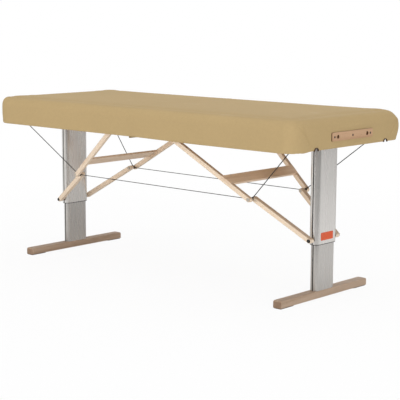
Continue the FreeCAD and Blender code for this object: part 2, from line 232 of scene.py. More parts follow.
def tint(red, green, blue):
    """A colour as the eye names it, 0 to 255, as the linear colour a shader takes."""
    def linear(value):
        value /= 255.0
        return value / 12.92 if value <= 0.04045 else ((value + 0.055) / 1.055) ** 2.4
    return (linear(red), linear(green), linear(blue), 1.0)


def add_node(tree, kind, links=None, **settings):
    """A node of a kind, its plain settings set and its inputs linked or given values."""
    node = tree.nodes.new("ShaderNode" + kind)
    for key, value in settings.items():
        setattr(node, key, value)
    for key, value in (links or {}).items():
        if isinstance(value, bpy.types.NodeSocket):
            tree.links.new(value, node.inputs[key])
        else:
            node.inputs[key].default_value = value
    return node


def remap(tree, value, low, high, out_low, out_high):
    node = add_node(tree, "MapRange", {0: value, 1: low, 2: high, 3: out_low, 4: out_high})
    return node.outputs[0]


def calculate(tree, operation, *values, **settings):
    return add_node(tree, "Math", dict(enumerate(values)), operation=operation, **settings).outputs[0]


def mix_colours(tree, share, first, second):
    return add_node(tree, "Mix", {0: share, 6: first, 7: second}, data_type="RGBA").outputs[2]


def noise(tree, vector, scale, detail, **more):
    return add_node(tree, "TexNoise", {"Vector": vector, "Scale": scale, "Detail": detail, **more}).outputs["Fac"]


def absolute(tree, vector):
    return add_node(tree, "VectorMath", {0: vector}, operation="ABSOLUTE").outputs[0]


def dot(tree, vector, direction):
    return add_node(tree, "VectorMath", {0: vector, 1: direction}, operation="DOT_PRODUCT").outputs["Value"]


def split_axes(tree, vector):
    return add_node(tree, "SeparateXYZ", {0: vector}).outputs


def use_group(tree, group, values):
    return add_node(tree, "Group", values, node_tree=group)


def new_group(name, inputs, outputs):
    """A node group, its input sockets as a list, and the sockets that its results go to."""
    group = bpy.data.node_groups.new(name, "ShaderNodeTree")
    for label, kind, value in inputs:
        socket = group.interface.new_socket(label, in_out="INPUT", socket_type="NodeSocket" + kind)
        if value is not None:
            socket.default_value = value
    for label, kind in outputs:
        group.interface.new_socket(label, in_out="OUTPUT", socket_type="NodeSocket" + kind)
    given = group.nodes.new("NodeGroupInput").outputs
    result = group.nodes.new("NodeGroupOutput").inputs
    return group, [given[label] for label, kind, value in inputs], result


# Patterns that the finishes share

def make_tone_drift():
    """A colour that drifts lighter and darker over the surface, slowly and finely."""
    group, (vector, colour, scale, amount), result = new_group(
        "tone_drift",
        [("Vector", "Vector", None), ("Colour", "Color", WHITE), ("Scale", "Float", 6.0), ("Amount", "Float", 0.1)],
        [("Colour", "Color")],
    )
    slow = noise(group, vector, scale, 4.0)
    fine = noise(group, vector, calculate(group, "MULTIPLY", scale, 23.0), 2.0)
    centred = calculate(group, "SUBTRACT", calculate(group, "ADD", slow, fine), 1.0)
    drift = calculate(group, "MULTIPLY_ADD", centred, amount, 1.0)
    toned = add_node(group, "HueSaturation", {"Value": drift, "Color": colour})
    group.links.new(toned.outputs["Color"], result["Colour"])
    return group


def make_scuffs():
    """Sparse rubbed patches: a mask that is 0 nearly everywhere."""
    group, (vector, scale, spread), result = new_group(
        "scuffs",
        [("Vector", "Vector", None), ("Scale", "Float", 9.0), ("Spread", "Float", 0.35)],
        [("Mask", "Float")],
    )
    patch = noise(group, vector, scale, 6.0, Roughness=0.65)
    start = calculate(group, "SUBTRACT", 1.0, spread)
    stop = calculate(group, "ADD", start, 0.16)
    mask = add_node(group, "MapRange", {0: patch, 1: start, 2: stop}, interpolation_type="SMOOTHSTEP")
    group.links.new(mask.outputs[0], result["Mask"])
    return group


def make_leather_grain():
    """Fine pebbled grain of coated cloth: a height, and the valleys between the pebbles."""
    group, (vector, scale), result = new_group(
        "leather_grain",
        [("Vector", "Vector", None), ("Scale", "Float", 520.0)],
        [("Height", "Float"), ("Valley", "Float")],
    )
    pebble = add_node(group, "TexVoronoi", {"Vector": vector, "Scale": scale}, feature="DISTANCE_TO_EDGE")
    pebble = pebble.outputs["Distance"]
    coarse = noise(group, vector, calculate(group, "MULTIPLY", scale, 0.22), 3.0)
    height = calculate(group, "ADD", remap(group, pebble, 0.0, 0.35, 0.0, 1.0), coarse)
    group.links.new(height, result["Height"])
    group.links.new(remap(group, pebble, 0.0, 0.12, 1.0, 0.0), result["Valley"])
    return group


def make_wood_grain():
    """Straight grain along X: broad growth bands, fine fibre and short dark flecks."""
    group, (vector, pale, deep, fleck_amount), result = new_group(
        "wood_grain",
        [("Vector", "Vector", None), ("Pale", "Color", WHITE), ("Deep", "Color", WHITE), ("Fleck", "Float", 0.5)],
        [("Colour", "Color"), ("Height", "Float"), ("Sheen", "Float")],
    )

    def drawn_out(stretch, detail, **more):
        placed = add_node(group, "Mapping", {"Vector": vector, "Scale": stretch})
        return noise(group, placed.outputs[0], 1.0, detail, **more)

    bands = drawn_out((1.6, 34.0, 34.0), 5.0, Distortion=0.6)
    fibre = drawn_out((14.0, 900.0, 900.0), 3.0)
    fleck = drawn_out((150.0, 900.0, 900.0), 1.0)
    fleck = calculate(group, "MULTIPLY", remap(group, fleck, 0.60, 0.74, 0.0, 1.0), fleck_amount)
    band_share = remap(group, bands, 0.30, 0.72, 0.0, 0.75)
    fibre_share = remap(group, fibre, 0.30, 0.75, 0.0, 0.30)
    share = calculate(group, "ADD", band_share, fibre_share)
    total = calculate(group, "ADD", share, fleck, use_clamp=True)
    group.links.new(mix_colours(group, total, pale, deep), result["Colour"])
    group.links.new(calculate(group, "SUBTRACT", fibre, fleck), result["Height"])
    group.links.new(remap(group, total, 0.0, 1.0, 0.40, 0.58), result["Sheen"])
    return group


def make_drawn_lines():
    """Fine straight lines along Z, as an extruded profile shows."""
    group, (vector, fineness), result = new_group(
        "drawn_lines",
        [("Vector", "Vector", None), ("Fineness", "Float", 900.0)],
        [("Line", "Float"), ("Band", "Float")],
    )
    flat = add_node(group, "VectorMath", {0: vector, 1: (1.0, 1.0, 0.004)}, operation="MULTIPLY").outputs[0]
    group.links.new(noise(group, flat, fineness, 2.0), result["Line"])
    broad = calculate(group, "MULTIPLY", fineness, 0.12)
    group.links.new(noise(group, flat, broad, 2.0), result["Band"])
    return group


TONE_DRIFT = make_tone_drift()
SCUFFS = make_scuffs()
LEATHER_GRAIN = make_leather_grain()
WOOD_GRAIN = make_wood_grain()
DRAWN_LINES = make_drawn_lines()


# Finishes

def new_finish(name, **shader_values):
    """A material with its shader, and the Object coordinates that its patterns read."""
    finish = bpy.data.materials.new(name)
    finish.use_nodes = True
    tree = finish.node_tree
    shader = tree.nodes["Principled BSDF"]
    for key, value in shader_values.items():
        shader.inputs[key.replace("_", " ")].default_value = value
    place = tree.nodes.new("ShaderNodeTexCoord").outputs["Object"]
    return finish, tree, shader, place


def toned(tree, place, colour, scale, amount):
    values = {"Vector": place, "Colour": colour, "Scale": scale, "Amount": amount}
    return use_group(tree, TONE_DRIFT, values).outputs["Colour"]


def scuffed(tree, place, scale, spread):
    return use_group(tree, SCUFFS, {"Vector": place, "Scale": scale, "Spread": spread}).outputs["Mask"]


def add_bump(tree, shader, height, strength, distance):
    bump = add_node(tree, "Bump", {"Height": height, "Strength": strength, "Distance": distance})
    tree.links.new(bump.outputs["Normal"], shader.inputs["Normal"])


def finish_vinyl(name, colour):
    """Coated cloth, darker between the pebbles of its grain and glossier where it is rubbed."""
    finish, tree, shader, place = new_finish(name, Specular_IOR_Level=0.04)
    grain = use_group(tree, LEATHER_GRAIN, {"Vector": place, "Scale": 620.0})
    worn = scuffed(tree, place, 7.0, 0.40)
    valley = remap(tree, grain.outputs["Valley"], 0.0, 1.0, 0.0, 0.16)
    grained = mix_colours(tree, valley, toned(tree, place, colour, 3.5, 0.08), tint(150, 128, 90))
    tree.links.new(grained, shader.inputs["Base Color"])
    tree.links.new(remap(tree, worn, 0.0, 1.0, 0.56, 0.46), shader.inputs["Roughness"])
    add_bump(tree, shader, grain.outputs["Height"], 0.16, 0.0004)
    return finish


def finish_wood(name, pale, deep, along=ALONG_X, through=(0.0, 0.0, 0.0), fleck=0.5, coat=0.03,
                edge_x=None, end_y=None, narrow=None):
    """Lacquered wood whose grain runs along a direction, its pattern centred on a point. Behind edge_x it is darkened
    to dark brown, painted shade on the edges and in the bore of a proud plate, beyond end_y it shows end grain, and a
    narrow face, given as a direction and a reach, is browner than the broad ones: painted shade, as the table top casts
    on the struts."""
    finish, tree, shader, place = new_finish(name, Coat_Weight=coat, Coat_Roughness=0.32, Specular_IOR_Level=0.18)
    turn = Vector(along).rotation_difference(Vector(ALONG_X)).to_euler()
    moved = add_node(tree, "VectorMath", {0: place, 1: through}, operation="SUBTRACT").outputs[0]
    turned = add_node(tree, "Mapping", {"Vector": moved, "Rotation": turn}).outputs[0]
    grain = use_group(tree, WOOD_GRAIN, {"Vector": turned, "Pale": pale, "Deep": deep, "Fleck": fleck})
    colour = toned(tree, place, grain.outputs["Colour"], 5.0, 0.10)
    colour = mix_colours(tree, remap(tree, scuffed(tree, place, 16.0, 0.36), 0.0, 1.0, 0.0, 0.25), colour, deep)
    # Painted shade: everything behind edge_x, the edges and the bore of the proud plate, is darkened to dark brown.
    if edge_x is not None:
        behind = remap(tree, split_axes(tree, place)["X"], edge_x - 0.0004, edge_x + 0.0002, 0.88, 0.0)
        colour = mix_colours(tree, behind, colour, tint(98, 66, 46))
    if end_y is not None:
        reach = split_axes(tree, absolute(tree, place))["Y"]
        end_grain = remap(tree, reach, end_y, end_y + 0.002, 0.0, 0.55)
        colour = mix_colours(tree, end_grain, colour, tint(112, 82, 58))
    # Painted shade: the narrow face that the direction points to, the upper one on the struts, is darkened browner as
    # the table top shades it.
    if narrow is not None:
        direction, face = narrow
        painted_top_shade = remap(tree, dot(tree, moved, direction), face - 0.0030, face - 0.0012, 0.0, 0.50)
        colour = mix_colours(tree, painted_top_shade, colour, tint(150, 118, 90))
    tree.links.new(colour, shader.inputs["Base Color"])
    tree.links.new(grain.outputs["Sheen"], shader.inputs["Roughness"])
    add_bump(tree, shader, grain.outputs["Height"], 0.12, 0.0003)
    return finish


def finish_anodised(name, colour):
    """Satin aluminium with drawn lines down the profile, and painted shade that darkens the slots of its narrow sides.
    """
    finish, tree, shader, place = new_finish(name, Metallic=0.80, Specular_IOR_Level=0.5)
    lines = use_group(tree, DRAWN_LINES, {"Vector": place, "Fineness": 1400.0})
    share = remap(tree, lines.outputs["Line"], 0.3, 0.7, 0.0, 0.12)
    lined = mix_colours(tree, share, toned(tree, place, colour, 4.0, 0.06), tint(120, 118, 114))
    # Painted shade: the slot in the middle of each narrow side is darkened towards near black.
    off_middle = calculate(tree, "SUBTRACT", split_axes(tree, absolute(tree, place))["X"], COLUMN_X)
    painted_slot_shade = remap(tree, calculate(tree, "ABSOLUTE", off_middle), 0.0024, 0.0036, 0.85, 0.0)
    tree.links.new(mix_colours(tree, painted_slot_shade, lined, tint(58, 57, 57)), shader.inputs["Base Color"])
    tree.links.new(remap(tree, lines.outputs["Band"], 0.3, 0.7, 0.24, 0.34), shader.inputs["Roughness"])
    add_bump(tree, shader, lines.outputs["Line"], 0.08, 0.0002)
    return finish


def finish_metal(name, colour, metallic, rough, grit=900.0):
    """Cast, painted or plated metal with a faint pitted skin and rubbed spots."""
    finish, tree, shader, place = new_finish(name, Metallic=metallic)
    worn = scuffed(tree, place, 60.0, 0.38)
    bright = tuple(min(1.0, part * 1.8 + 0.02) for part in colour[:3]) + (1.0,)
    rubbed = mix_colours(tree, worn, toned(tree, place, colour, 22.0, 0.18), bright)
    tree.links.new(rubbed, shader.inputs["Base Color"])
    tree.links.new(remap(tree, worn, 0.0, 1.0, rough, rough - 0.12), shader.inputs["Roughness"])
    add_bump(tree, shader, noise(tree, place, grit, 2.0), 0.10, 0.0002)
    return finish


def finish_plastic(name, colour, rough, grit=1500.0):
    """Moulded plastic or rubber with a fine spark-eroded skin."""
    finish, tree, shader, place = new_finish(name, Specular_IOR_Level=0.4)
    worn = scuffed(tree, place, 35.0, 0.38)
    tree.links.new(toned(tree, place, colour, 15.0, 0.15), shader.inputs["Base Color"])
    tree.links.new(remap(tree, worn, 0.0, 1.0, rough, rough - 0.14), shader.inputs["Roughness"])
    add_bump(tree, shader, noise(tree, place, grit, 1.0), 0.14, 0.0003)
    return finish


PINE = (tint(205, 170, 122), tint(160, 118, 76))
STRUT_BEECH = (tint(248, 231, 209), tint(239, 215, 188))
VINYL = finish_vinyl("khaki_vinyl", tint(190, 165, 121))
PLYWOOD = finish_wood("birch_plywood", tint(214, 184, 140), tint(178, 140, 96), fleck=0.35, coat=0.0)
RAIL_WOOD = finish_wood("rail_pine", *PINE, coat=0.0)
CROSS_WOOD = finish_wood("cross_rail_pine", *PINE, along=ALONG_Y, coat=0.0)
FOOT_WOOD = finish_wood("foot_beech", tint(202, 178, 156), tint(164, 138, 116), along=ALONG_Y, end_y=0.3155)
BAR_WOOD = finish_wood("cross_bar_beech", tint(244, 222, 198), tint(220, 192, 164), along=ALONG_Y)
PLATE_WOOD = finish_wood("plate_beech", tint(208, 172, 138), tint(180, 140, 108), along=ALONG_Y, edge_x=0.9744)
ANODISED = finish_anodised("satin_anodised", tint(236, 233, 229))
INNER_ANODISED = finish_anodised("inner_anodised", tint(208, 205, 201))
CAST = finish_metal("cast_alloy", tint(165, 165, 163), 0.8, 0.55)
DARK_STEEL = finish_metal("black_steel", tint(62, 58, 55), 0.5, 0.42)
BRASS = finish_metal("hinge_brass", tint(176, 148, 92), 1.0, 0.38)
BOLT_STEEL = finish_metal("bolt_steel", tint(196, 186, 172), 0.5, 0.40)
WIRE = finish_metal("wire_steel", tint(42, 41, 40), 0.5, 0.45)
BLACK = finish_plastic("black_plastic", tint(36, 35, 34), 0.55)
RUBBER = finish_plastic("pad_rubber", tint(34, 33, 32), 0.75, grit=900.0)
LINER = finish_plastic("notch_liner", tint(78, 57, 45), 0.50)
ORANGE = finish_plastic("orange_plate", tint(226, 96, 56), 0.42)

FINISH_OF_SLOT = {
    "vinyl": VINYL, "plywood": PLYWOOD, "rail_wood": RAIL_WOOD, "beech": FOOT_WOOD, "aluminium": ANODISED,
    "cast_aluminium": CAST, "dark_steel": DARK_STEEL, "hinge_brass": BRASS, "wire_steel": WIRE,
    "black_plastic": BLACK, "pad_rubber": RUBBER,
}


def paint(piece, finish):
    piece.data.materials.clear()
    piece.data.materials.append(finish)


def paint_struts(half, sign, side, hand):
    """The two struts of a side, each with its grain from pivot to pivot and its upper narrow face browner with painted
    shade from the table top above.
    """
    for length, start, end, half_height in STRUTS:
        a = Vector((sign * start[0], hand * start[1], start[2]))
        b = Vector((sign * end[0], hand * end[1], end[2]))
        along = (b - a).normalized()
        across = Vector(ALONG_Y).cross(Vector((along.x, 0.0, along.z))).normalized()
        across = across if across.z > 0.0 else -across
        name = "%s_%s_strut_%s" % (half, length, side)
        wood = finish_wood(name + "_beech", *STRUT_BEECH, along=along, through=a, fleck=0.20,
                           narrow=(across, half_height))
        paint(nodes[name], wood)


def paint_solids():
    """Every CAD solid gets the finish of its slot, wood with its grain along the piece."""
    for part in frame["record"]["subparts"]:
        paint(nodes[part["node"]], FINISH_OF_SLOT[part["material_slot"]])
    paint(nodes["face_rest_plate"], PLATE_WOOD)
    paint(nodes["notch_liners"], LINER)
    for half, sign in HALVES:
        paint(nodes[half + "_cross_rails"], CROSS_WOOD)
        paint(nodes[half + "_cross_bar"], BAR_WOOD)
        paint(nodes[half + "_knee_pins"], BOLT_STEEL)
        paint(nodes[half + "_inner_tube"], INNER_ANODISED)
        for side, hand in SIDES:
            paint_struts(half, sign, side, hand)


# Padded top

SPARE_LENGTH = 0.060
VOXEL = 0.008
SWELL = 0.0060
CLOTH_FRAMES = 20
# Heights between which the cover comes free of the frame, at the sides and at the end behind the face-rest plate
SIDE_FREE = (0.695, 0.765)
END_FREE = (0.752, 0.782)
END_ZONE_X = 0.93
BESIDE_PLATE = (0.165, 0.300)
# Corners: the heights of the hem and of the top's edge, and how far the hem is drawn in
CORNER_FOOT = 0.695
CORNER_RISE = 0.110
HEM_DRAW = 0.0020
HEM_ZONE = (0.690, 0.745)
TOP_ZONE = (0.765, 0.795)
TOP_EDGE_DEPTH = (0.010, 0.050)
# How far each corner bulges, and how much its top edge is flattened
HEAD_NEAR, HEAD_FAR = (0.0045, 0.0), (0.0085, 0.0055)
FOOT_NEAR, FOOT_FAR = (0.0005, -0.005), (0.0045, 0.0)
# A pleat: its depth and width, its line round the corner, and the lip beside it
PLEAT = 0.0032
PLEAT_WIDTH = 0.0055
PLEAT_START = 0.026
PLEAT_LEAN = 0.085
PLEAT_CURVE = 1.8
LIP_SHARE = 0.55
LIP_AT = 1.7
COVER_DEPTH = (0.012, 0.020)
# How much deeper the near lower edge of the head half hangs, and where
SKIRT_DIP = 0.0045
DIP_ALONG = (0.0, 0.45)
DIP_ROUND = (0.275, 0.345)
DIP_HEIGHT = (0.689, 0.735)
# Room for the wood inside the cover
ROOM_GAP = 0.0002
CENTRE_WALL = 0.0088
POCKET_HALF = 0.031
POCKET_X = (-0.002, 0.0100)
POCKET_TOP = 0.6904
WINDOW = ((0.955, -0.1494, 0.7191), (0.985, 0.1494, 0.7569))


def ramp(value, low, high):
    """Rises smoothly from 0 at low to 1 at high."""
    share = min(1.0, max(0.0, (value - low) / (high - low)))
    return share * share * (3.0 - 2.0 * share)


def swell(pad):
    """Blows the cover up a little, held along the wooden frame, as foam fills a stretched cover."""
    held = pad.vertex_groups.new(name="held")
    rest = [point.co.copy() for point in pad.data.vertices]
    facing = [point.normal.copy() for point in pad.data.vertices]
    loose = []
    for index, co in enumerate(rest):
        side = ramp(co.z, *SIDE_FREE)
        end = ramp(co.z, *END_FREE)
        free = side if co.x < END_ZONE_X else end + (side - end) * ramp(abs(co.y), *BESIDE_PLATE)
        loose.append(free)
        if free < 1.0:
            held.add([index], 1.0 - free, "REPLACE")
    work_on(pad)
    cloth = pad.modifiers.new("Stretch", "CLOTH")
    cloth.settings.quality = 4
    cloth.settings.use_pressure = True
    cloth.settings.uniform_pressure_force = 4.0
    cloth.settings.effector_weights.gravity = 0.0
    cloth.settings.vertex_group_mass = "held"
    cloth.collision_settings.use_collision = False
    cloth.point_cache.frame_start = 1
    cloth.point_cache.frame_end = CLOTH_FRAMES
    for step in range(1, CLOTH_FRAMES + 1):
        bpy.context.scene.frame_set(step)
    bpy.ops.object.modifier_apply(modifier=cloth.name)
    for point, start, normal, free in zip(pad.data.vertices, rest, facing, loose):
        moved = point.co - start
        moved -= normal * min(0.0, moved.dot(normal))
        point.co = start + moved
        most = SWELL * free
        if moved.length > most:
            point.co = start + moved * (most / moved.length)
    bpy.context.scene.frame_set(1)


def fill_corners(pad, near, far):
    """Rounds out the outer corners half way up, draws them in at the hem and lays a pleat down each."""
    for point in pad.data.vertices:
        x, y, z = point.co
        if x <= CORNER_X:
            continue
        bulge, flatter = near if y < 0.0 else far
        out = Vector((x - CORNER_X, max(0.0, abs(y) - CORNER_Y), 0.0))
        depth = CORNER_R - out.length
        angle = math.atan2(out.y, out.x)
        around = CORNER_R * angle if out.y > 0.0 else abs(y) - CORNER_Y
        share = math.sin(2.0 * angle)
        height = min(1.0, max(0.0, (z - CORNER_FOOT) / CORNER_RISE))
        full = bulge * math.sin(math.pi * height) - HEM_DRAW * (1.0 - ramp(z, *HEM_ZONE))
        off = (around + PLEAT_START - PLEAT_LEAN * height ** PLEAT_CURVE) / PLEAT_WIDTH
        pleat = PLEAT * (math.exp(-off ** 2) - LIP_SHARE * math.exp(-(off - LIP_AT) ** 2))
        pleat *= ramp(height, 0.0, 0.12) * (1.0 - ramp(height, 0.80, 1.0)) * (1.0 - ramp(depth, *COVER_DEPTH))
        move = out.normalized() * (full * share - pleat)
        drop = flatter * share * ramp(z, *TOP_ZONE) * (1.0 - ramp(depth, *TOP_EDGE_DEPTH))
        point.co += Vector((move.x, move.y if y > 0.0 else -move.y, -drop))


def deepen_skirt(pad):
    """Lets the cover's near lower edge hang deeper towards the outer corner."""
    for point in pad.data.vertices:
        x, y, z = point.co
        share = ramp(x, *DIP_ALONG) * ramp(-y, *DIP_ROUND) * (1.0 - ramp(z, *DIP_HEIGHT))
        point.co.z -= SKIRT_DIP * share


def padded_half():
    """The padded cover of the head half. It is made longer than it is and cut off at the centre seam."""
    pad = add_block("head_padding", (-SPARE_LENGTH, -SIDE_Y, SKIRT_Z), (END_X, SIDE_Y, TOP_Z))
    round_outer_corners(pad, CORNER_R)
    bevel_edges(pad, TOP_ROUND, 12, lambda a, b: min(a.z, b.z) > 0.80 and max(a.x, b.x) > 0.0)
    work_on(pad)
    pad.data.remesh_voxel_size = VOXEL
    bpy.ops.object.voxel_remesh()
    apply_modifier(pad, "SMOOTH", factor=0.5, iterations=3)
    swell(pad)
    apply_modifier(pad, "SMOOTH", factor=0.4, iterations=2)
    apply_modifier(pad, "SUBSURF", levels=1, render_levels=1)
    pad.vertex_groups.clear()
    pick_all(pad)
    bpy.ops.mesh.bisect(plane_co=(SEAM_X, 0.0, 0.0), plane_no=ALONG_X, use_fill=True, clear_inner=True)
    leave_edit()
    return pad


def hollow(pad, sign, head):
    """Cuts out the room of the wooden frame, the hinge pockets and, at the head, the end's openings."""
    side = FRAME_SIDE + ROOM_GAP
    room = add_block("room", (CENTRE_WALL, -side, UNDER_FRAME), (FRAME_END + ROOM_GAP, side, DECK_TOP + ROOM_GAP))
    round_outer_corners(room, FRAME_CORNER)
    tools = [room]
    for y in (-HINGE_Y, HINGE_Y):
        low = (POCKET_X[0], y - POCKET_HALF, UNDER_FRAME)
        tools.append(add_block("pocket", low, (POCKET_X[1], y + POCKET_HALF, POCKET_TOP)))
    if head:
        window = add_block("window", *WINDOW)
        bevel_edges(window, 0.004, 4, lambda a, b: abs(a.x - b.x) > 0.01)
        tools.append(window)
        for y in (-NOTCH_Y, NOTCH_Y):
            tools.append(add_bar("notch", (NOTCH_X[0], y, NOTCH_Z), (NOTCH_X[1], y, NOTCH_Z), NOTCH_R, 48))
    for tool in tools:
        if sign < 0:
            mirror_piece(tool)
        cut_away(pad, tool)


def make_padding():
    head = padded_half()
    foot = copy_piece(head, "foot_padding")
    fill_corners(head, HEAD_NEAR, HEAD_FAR)
    fill_corners(foot, FOOT_NEAR, FOOT_FAR)
    deepen_skirt(head)
    mirror_piece(foot)
    for (half, sign), pad in zip(HALVES, (head, foot)):
        hollow(pad, sign, half == "head")
        smooth(pad, 42)
        paint(pad, VINYL)
        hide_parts(half + "_cushion")
        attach(pad, half + "_top")


# Bracing wires

WIRE_R = 0.0017
STAY_R = 0.0021
STRAND_LAY = 0.020
TIE_SAG = 0.0003
EYE_R = 0.0059
TOP_EYE_R = EYE_R - 0.001
# Along the wire from the eye's middle: where the crimped sleeve begins, how long it is, and where the strand begins
CRIMP_START = 0.017
CRIMP_LENGTH = 0.014
CRIMP_R = 0.0024
NIP_HALF = 0.0012
NIP_SCALE = 0.86
STRAND_START = 0.018


def twisted_strand(name, start, end, radius):
    """Six-strand wire: a lobed ring drawn along its line while it turns."""
    clear_selection()
    a, b = Vector(start), Vector(end)
    length = (b - a).length
    turns = max(1, round(length / STRAND_LAY))
    bpy.ops.mesh.primitive_circle_add(vertices=12, radius=radius)
    strand = name_new(name)
    pick(strand, "VERT", lambda co: False)
    leave_edit()
    for point in strand.data.vertices:
        point.select = point.index % 2 == 1
    bpy.ops.object.mode_set(mode="EDIT")
    bpy.ops.transform.resize(value=(0.80, 0.80, 1.0), center_override=(0.0, 0.0, 0.0))
    leave_edit()
    apply_modifier(strand, "SCREW", axis="Z", angle=2 * math.pi, screw_offset=length / turns, iterations=turns,
                   steps=10, render_steps=10)
    pick_all(strand, "VERT")
    bpy.ops.mesh.remove_doubles(threshold=0.00001)
    bpy.ops.mesh.fill_holes(sides=0)
    bpy.ops.mesh.normals_make_consistent(inside=False)
    leave_edit()
    strand.rotation_euler = (b - a).to_track_quat("Z", "Y").to_euler()
    strand.location = a
    return settle(strand)


def crimped_sleeve(name, start, line):
    """A short sleeve along a line, nipped in at two places."""
    sleeve = add_bar(name, start, start + line * CRIMP_LENGTH, CRIMP_R, 12)
    for share in (0.3, 0.7):
        middle = start + line * CRIMP_LENGTH * share
        slice_across(sleeve, middle - line * NIP_HALF, line)
        leave_edit()
        slice_across(sleeve, middle, line)
        bpy.ops.transform.resize(value=(NIP_SCALE, NIP_SCALE, NIP_SCALE), center_override=middle)
        leave_edit()
        slice_across(sleeve, middle + line * NIP_HALF, line)
        leave_edit()
    return sleeve


def eye(name, centre, radius, away):
    """The loop round a pin that lies across the table, on the way to a point."""
    clear_selection()
    bpy.ops.mesh.primitive_torus_add(
        location=centre, rotation=(math.pi / 2, 0.0, 0.0), major_radius=radius, minor_radius=WIRE_R,
        major_segments=28, minor_segments=10)
    loop = settle(name_new(name))
    middle = Vector(centre)
    line = (Vector(away) - middle).normalized()
    foot = middle + line * CRIMP_START
    parts = [loop, crimped_sleeve(name + "_crimp", foot, line)]
    for hand in (-1.0, 1.0):
        across = Vector((-line.z, 0.0, line.x)).normalized() * radius * 0.86 * hand
        leaving = middle + across + line * radius * 0.5
        parts.append(add_bar(name + "_tail", leaving, foot + across * 0.16, WIRE_R * 0.92, 10))
    return join(name, parts)


def make_stay_wires():
    """From each knee to the outer end of its half of the top."""
    for half, sign in HALVES:
        for side, hand in SIDES:
            knee = (sign * KNEE[0], hand * STAY_Y, KNEE[1])
            anchor = (sign * ANCHOR[0], hand * ANCHOR[1], ANCHOR[2])
            inset = (Vector(anchor) - Vector(knee)).normalized() * STRAND_START
            name = "%s_stay_wire_%s" % (half, side)
            stay = join(name, [
                twisted_strand(name, Vector(knee) + inset, Vector(anchor) - inset, STAY_R),
                eye(name + "_knee_eye", knee, EYE_R, anchor),
                eye(name + "_top_eye", anchor, TOP_EYE_R, knee),
            ])
            smooth(stay, 50)
            paint(stay, WIRE)
            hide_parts(half + "_stay_wires")
            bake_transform(stay)


def make_tie_wires():
    """Each wire from knee to knee is two pieces that meet in its middle, where it hangs a little."""
    for half, sign in HALVES:
        for side, hand in SIDES:
            knee = (sign * KNEE[0], hand * TIE_Y, KNEE[1])
            middle = (0.0, hand * TIE_Y, KNEE[1])
            inset = Vector((-sign, 0.0, 0.0)) * STRAND_START
            name = "%s_tie_wire_%s" % (half, side)
            tie = join(name, [
                twisted_strand(name, Vector(knee) + inset, middle, WIRE_R),
                eye(name + "_knee_eye", knee, EYE_R, middle),
            ])
            for point in tie.data.vertices:
                point.co.z -= TIE_SAG * max(0.0, 1.0 - (point.co.x / KNEE[0]) ** 2)
            smooth(tie, 50)
            paint(tie, WIRE)
            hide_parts(half + "_tie_eyes", "tie_wires")
            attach(tie, half + "_tie_eyes")


# Small trim

PLATE_BACK, PLATE_FRONT = (0.8509, -0.048, 0.263), (0.8520, 0.040, 0.298)
# Hem: a flat strip under the rails, given by its outer and its inner outline
HEM_LOW, HEM_HIGH = (0.052, -0.3926, 0.6886), (0.9676, 0.3926, 0.6899)
HEM_CORNER = 0.0702
HEM_INNER = (0.9515, 0.3765)
HEM_INNER_CORNER = 0.0542
ABOVE_HEM = 0.75
NOTCH_GAP = 0.048
NOTCH_GAP_X = (0.90, 0.99)
# The first staple, the rows of staples under the side rails and the row under the end rail
STAPLE_LOW, STAPLE_HIGH = (0.070, -0.3850, 0.6881), (0.080, -0.3838, 0.6887)
STAPLE_AT = (0.075, 0.3844)
SIDE_STEP, SIDE_STAPLES = 0.038, 21
END_STEP, END_REACH, END_ROW_X = 0.036, 8, 0.9600
NO_STAPLES = (0.19, 0.32)
# Hinge screws: their places on a leaf, their heads and their slots
SCREW_PLACES = ((0.016, -0.020), (0.024, 0.0), (0.016, 0.020))
SCREW_LOW, SCREW_HIGH, SCREW_R = 0.6872, 0.6898, 0.0021
SLOT_LOW, SLOT_HIGH = (-0.0005, -0.004, 0.6860), (0.0005, 0.004, 0.6877)


def make_orange_plate():
    """The bare name plate low on the head column."""
    plate = add_block("column_plate", PLATE_BACK, PLATE_FRONT)
    bevel_edges(plate, 0.004, 5, lambda a, b: abs(a.x - b.x) > 0.0005)
    pick(plate, "FACE", lambda centre, normal: normal.x > 0.9)
    bpy.ops.mesh.inset(thickness=0.0015, depth=-0.0002)
    leave_edit()
    bevel_edges(plate, 0.0003, 2, lambda a, b: min(a.x, b.x) > PLATE_FRONT[0] - 0.0001)
    smooth(plate, 40)
    paint(plate, ORANGE)
    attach(plate, "head_column")


def hem_strip(half):
    """The cover's edge, folded under the side and end rails."""
    hem = add_block(half + "_hem", HEM_LOW, HEM_HIGH)
    round_outer_corners(hem, HEM_CORNER, least=0.001)
    gap = add_block("gap", (0.0, -HEM_INNER[1], UNDER_FRAME), (*HEM_INNER, ABOVE_HEM))
    round_outer_corners(gap, HEM_INNER_CORNER)
    cut_away(hem, gap)
    if half == "head":
        for y in (-NOTCH_Y, NOTCH_Y):
            low = (NOTCH_GAP_X[0], y - NOTCH_GAP, UNDER_FRAME)
            cut_away(hem, add_block("gap", low, (NOTCH_GAP_X[1], y + NOTCH_GAP, ABOVE_HEM)))
    return hem


def staple_rows(half):
    """The staples that hold the hem, left out round the notches of the head end."""
    first = add_block(half + "_staples", STAPLE_LOW, STAPLE_HIGH)
    bevel_edges(first, 0.0003, 2, lambda a, b: max(a.z, b.z) < STAPLE_LOW[2] + 0.0001)
    staples = [first]
    for step in range(SIDE_STAPLES):
        for across in (0.0, 2.0 * STAPLE_AT[1]):
            twin = copy_piece(first, "staple")
            twin.location = (SIDE_STEP * step, across, 0.0)
            staples.append(settle(twin))
    for step in range(-END_REACH, END_REACH + 1):
        y = END_STEP * step
        if half == "head" and NO_STAPLES[0] < abs(y) < NO_STAPLES[1]:
            continue
        twin = copy_piece(first, "staple")
        twin.rotation_euler = (0.0, 0.0, math.pi / 2)
        twin.location = (END_ROW_X - STAPLE_AT[1], y - STAPLE_AT[0], 0.0)
        staples.append(settle(twin))
    return join(half + "_staples", staples)


